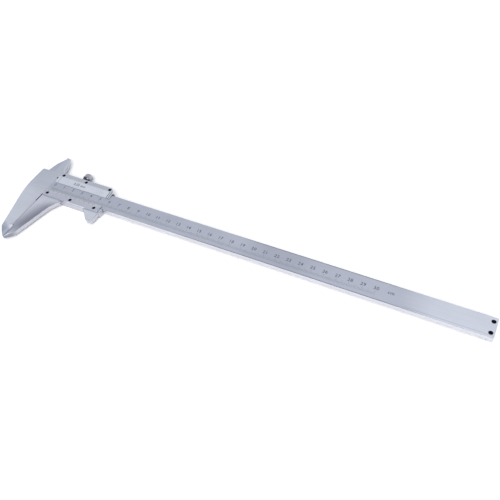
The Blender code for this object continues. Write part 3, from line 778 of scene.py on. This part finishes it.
knobLow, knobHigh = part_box("lock_screw")
knob = {
    "radius": 3.85, "headLength": 6.0, "neckRadius": 2.1, "stemRadius": 1.25, "neckLength": 2.0,
    "ridges": 44, "ridgeRadius": 0.24, "ridgeSink": 0.08, "ridgeMargin": 1.6, "sides": 64,
    "dishRadius": 1.9, "dishDepth": 0.5, "dishRim": 2.3,    # the hollow in the head's end
    "crown": (0.75, 0.2, 0.25),                             # outer rounding: size, then its middle point
    "foot": (0.8, 0.6, 0.35, 0.12),                         # inner rounding: run, rise, then its middle point
    "shoulder": 0.5, "tipChamfer": (0.35, 0.4),
}
knobLength = (knobHigh.y - knobLow.y) / mm
headBase = knobLength - knob["headLength"]
knobProfile = [
    (0, knobLength - knob["dishDepth"]),
    (knob["dishRadius"], knobLength - knob["dishDepth"]),
    (knob["dishRim"], knobLength),
    (knob["radius"] - knob["crown"][0], knobLength),
    (knob["radius"] - knob["crown"][1], knobLength - knob["crown"][2]),
    (knob["radius"], knobLength - knob["crown"][0]),
    (knob["radius"], headBase + knob["foot"][1]),
    (knob["radius"] - knob["foot"][2], headBase + knob["foot"][3]),
    (knob["radius"] - knob["foot"][0], headBase),
    (knob["neckRadius"], headBase),
    (knob["neckRadius"], headBase - knob["neckLength"] + knob["shoulder"]),
    (knob["stemRadius"], headBase - knob["neckLength"] + knob["shoulder"]),
    (knob["stemRadius"], knob["tipChamfer"][1]),
    (knob["stemRadius"] - knob["tipChamfer"][0], 0),
    (0, 0),
]
knobAxes = Matrix.Translation(Vector((
    (knobLow.x + knobHigh.x) / 2, knobLow.y, (knobLow.z + knobHigh.z) / 2,
))) @ Matrix.Rotation(math.radians(-90), 4, "X")
knobCore = turnedMesh("knobCore", knobProfile, knob["sides"])
knobCore.transform(knobAxes)
ridgePiece = bakeTree("knobRidges", knurl, {
    "Ridges": knob["ridges"], "Radius": (knob["radius"] - knob["ridgeSink"]) * mm,
    "Length": (knob["headLength"] - knob["ridgeMargin"]) * mm, "Ridge Width": knob["ridgeRadius"] * mm,
}, knobSteel, knobAxes @ Matrix.Translation(Vector((0, 0, headBase + knob["headLength"] / 2)) * mm))
ridgeMesh = ridgePiece.data
bpy.data.objects.remove(ridgePiece)
lockKnob = joinMeshes("lockKnob", [knobCore, ridgeMesh], knobSteel)
lockKnob.data.shade_smooth()
lockKnob.data.set_sharp_from_angle(angle=math.radians(35))
finishPiece(lockKnob, "clamp", "ground_steel", "lock_screw")
print("lock screw made")


# ---- carried-over nodes get their finish

carried = {
    "rear_stop": beamSteel, "depth_rod": beamSteel, "rod_rivet_left": knobSteel, "rod_rivet_right": knobSteel,
    "gib_strip": bronze, "gib_screw_left": blackSteel, "gib_screw_right": blackSteel,
    "stop_screw_lower": blackSteel, "stop_screw_upper": blackSteel,
}
for side in ("upper", "vernier"):
    for spot in ("left", "middle", "right"):
        carried[f"{side}_plate_screw_{spot}"] = blackSteel
for node, material in carried.items():
    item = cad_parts[node]
    item.data.materials.clear()
    item.data.materials.append(material)
print("carried-over nodes finished")


# ---- stage

stage = {
    "floorSize": 6.0, "floorColour": "#f6f6f6", "floorDrop": 0.02,   # metres, colour, millimetres
    # linear sky tones from the horizon (0) to overhead (1)
    "sky": (
        (0.0, (0.34, 0.35, 0.38, 1)), (0.40, (0.66, 0.675, 0.72, 1)), (0.60, (0.71, 0.725, 0.78, 1)),
        (0.78, (0.86, 0.88, 0.94, 1)), (0.90, (1.20, 1.21, 1.26, 1)),
    ),
}
floorMesh = bpy.data.meshes.new("studioFloor")
floorShape = bmesh.new()
bmesh.ops.create_grid(floorShape, x_segments=2, y_segments=2, size=stage["floorSize"] / 2)
floorShape.to_mesh(floorMesh)
floorShape.free()
floorMaterial, floorTree, floorShader = newMaterial("studioPaper")
floorShader.inputs["Base Color"].default_value = hexColour(stage["floorColour"])
floorShader.inputs["Roughness"].default_value = 0.9
floorShader.inputs["Specular IOR Level"].default_value = 0.1
floor = makeObject("studioFloor", floorMesh, floorMaterial)
floor.location = (0, 0, cadBounds[0].z - stage["floorDrop"] * mm)

world = bpy.data.worlds.new("studioSky")
bpy.context.scene.world = world
world.use_nodes = True
skyTree = world.node_tree
background = skyTree.nodes["Background"]
skyCoords = addNode(skyTree, "ShaderNodeTexCoord")
skyParts = addNode(skyTree, "ShaderNodeSeparateXYZ", {"Vector": skyCoords.outputs["Generated"]})
sky = colourRamp(skyTree, skyParts.outputs["Z"], stage["sky"])
skyTree.links.new(sky.outputs["Color"], background.inputs["Color"])
background.inputs["Strength"].default_value = 1.0

lights = {
    "frontSoftbox": {"at": (0.35, -1.0, 0.95), "size": 1.0, "power": 17.5},
}
for name, setting in lights.items():
    light = bpy.data.lights.new(name, "AREA")
    light.energy = setting["power"]
    light.size = setting["size"]
    lamp = bpy.data.objects.new(name, light)
    bpy.context.scene.collection.objects.link(lamp)
    lamp.location = setting["at"]
    lamp.rotation_euler = (-Vector(setting["at"])).to_track_quat("-Z", "Y").to_euler()

view = {
    "position": (367.7, -261.0, 362.8),       # on the caliper's own axes
    "right": (0.8914, 0.4461, -0.0803),
    "up": (-0.2897, 0.6970, 0.6559),
    "lens": 43.8, "sensor": 36.0,
    "clip": 0.01,                             # metres
}
cameraData = bpy.data.cameras.new("studioCamera")
cameraData.lens = view["lens"]
cameraData.sensor_width = view["sensor"]
cameraData.clip_start = view["clip"]
camera = bpy.data.objects.new("studioCamera", cameraData)
bpy.context.scene.collection.objects.link(camera)
rightAxis = Vector(view["right"]).normalized()
upAxis = Vector(view["up"])
upAxis = (upAxis - rightAxis * upAxis.dot(rightAxis)).normalized()
backAxis = rightAxis.cross(upAxis)
spot = place(*view["position"])
camera.matrix_world = Matrix((
    (rightAxis.x, upAxis.x, backAxis.x, spot.x),
    (rightAxis.y, upAxis.y, backAxis.y, spot.y),
    (rightAxis.z, upAxis.z, backAxis.z, spot.z),
    (0, 0, 0, 1),
))
bpy.context.scene.camera = camera
bpy.context.scene.view_settings.view_transform = "Standard"
print("stage made")
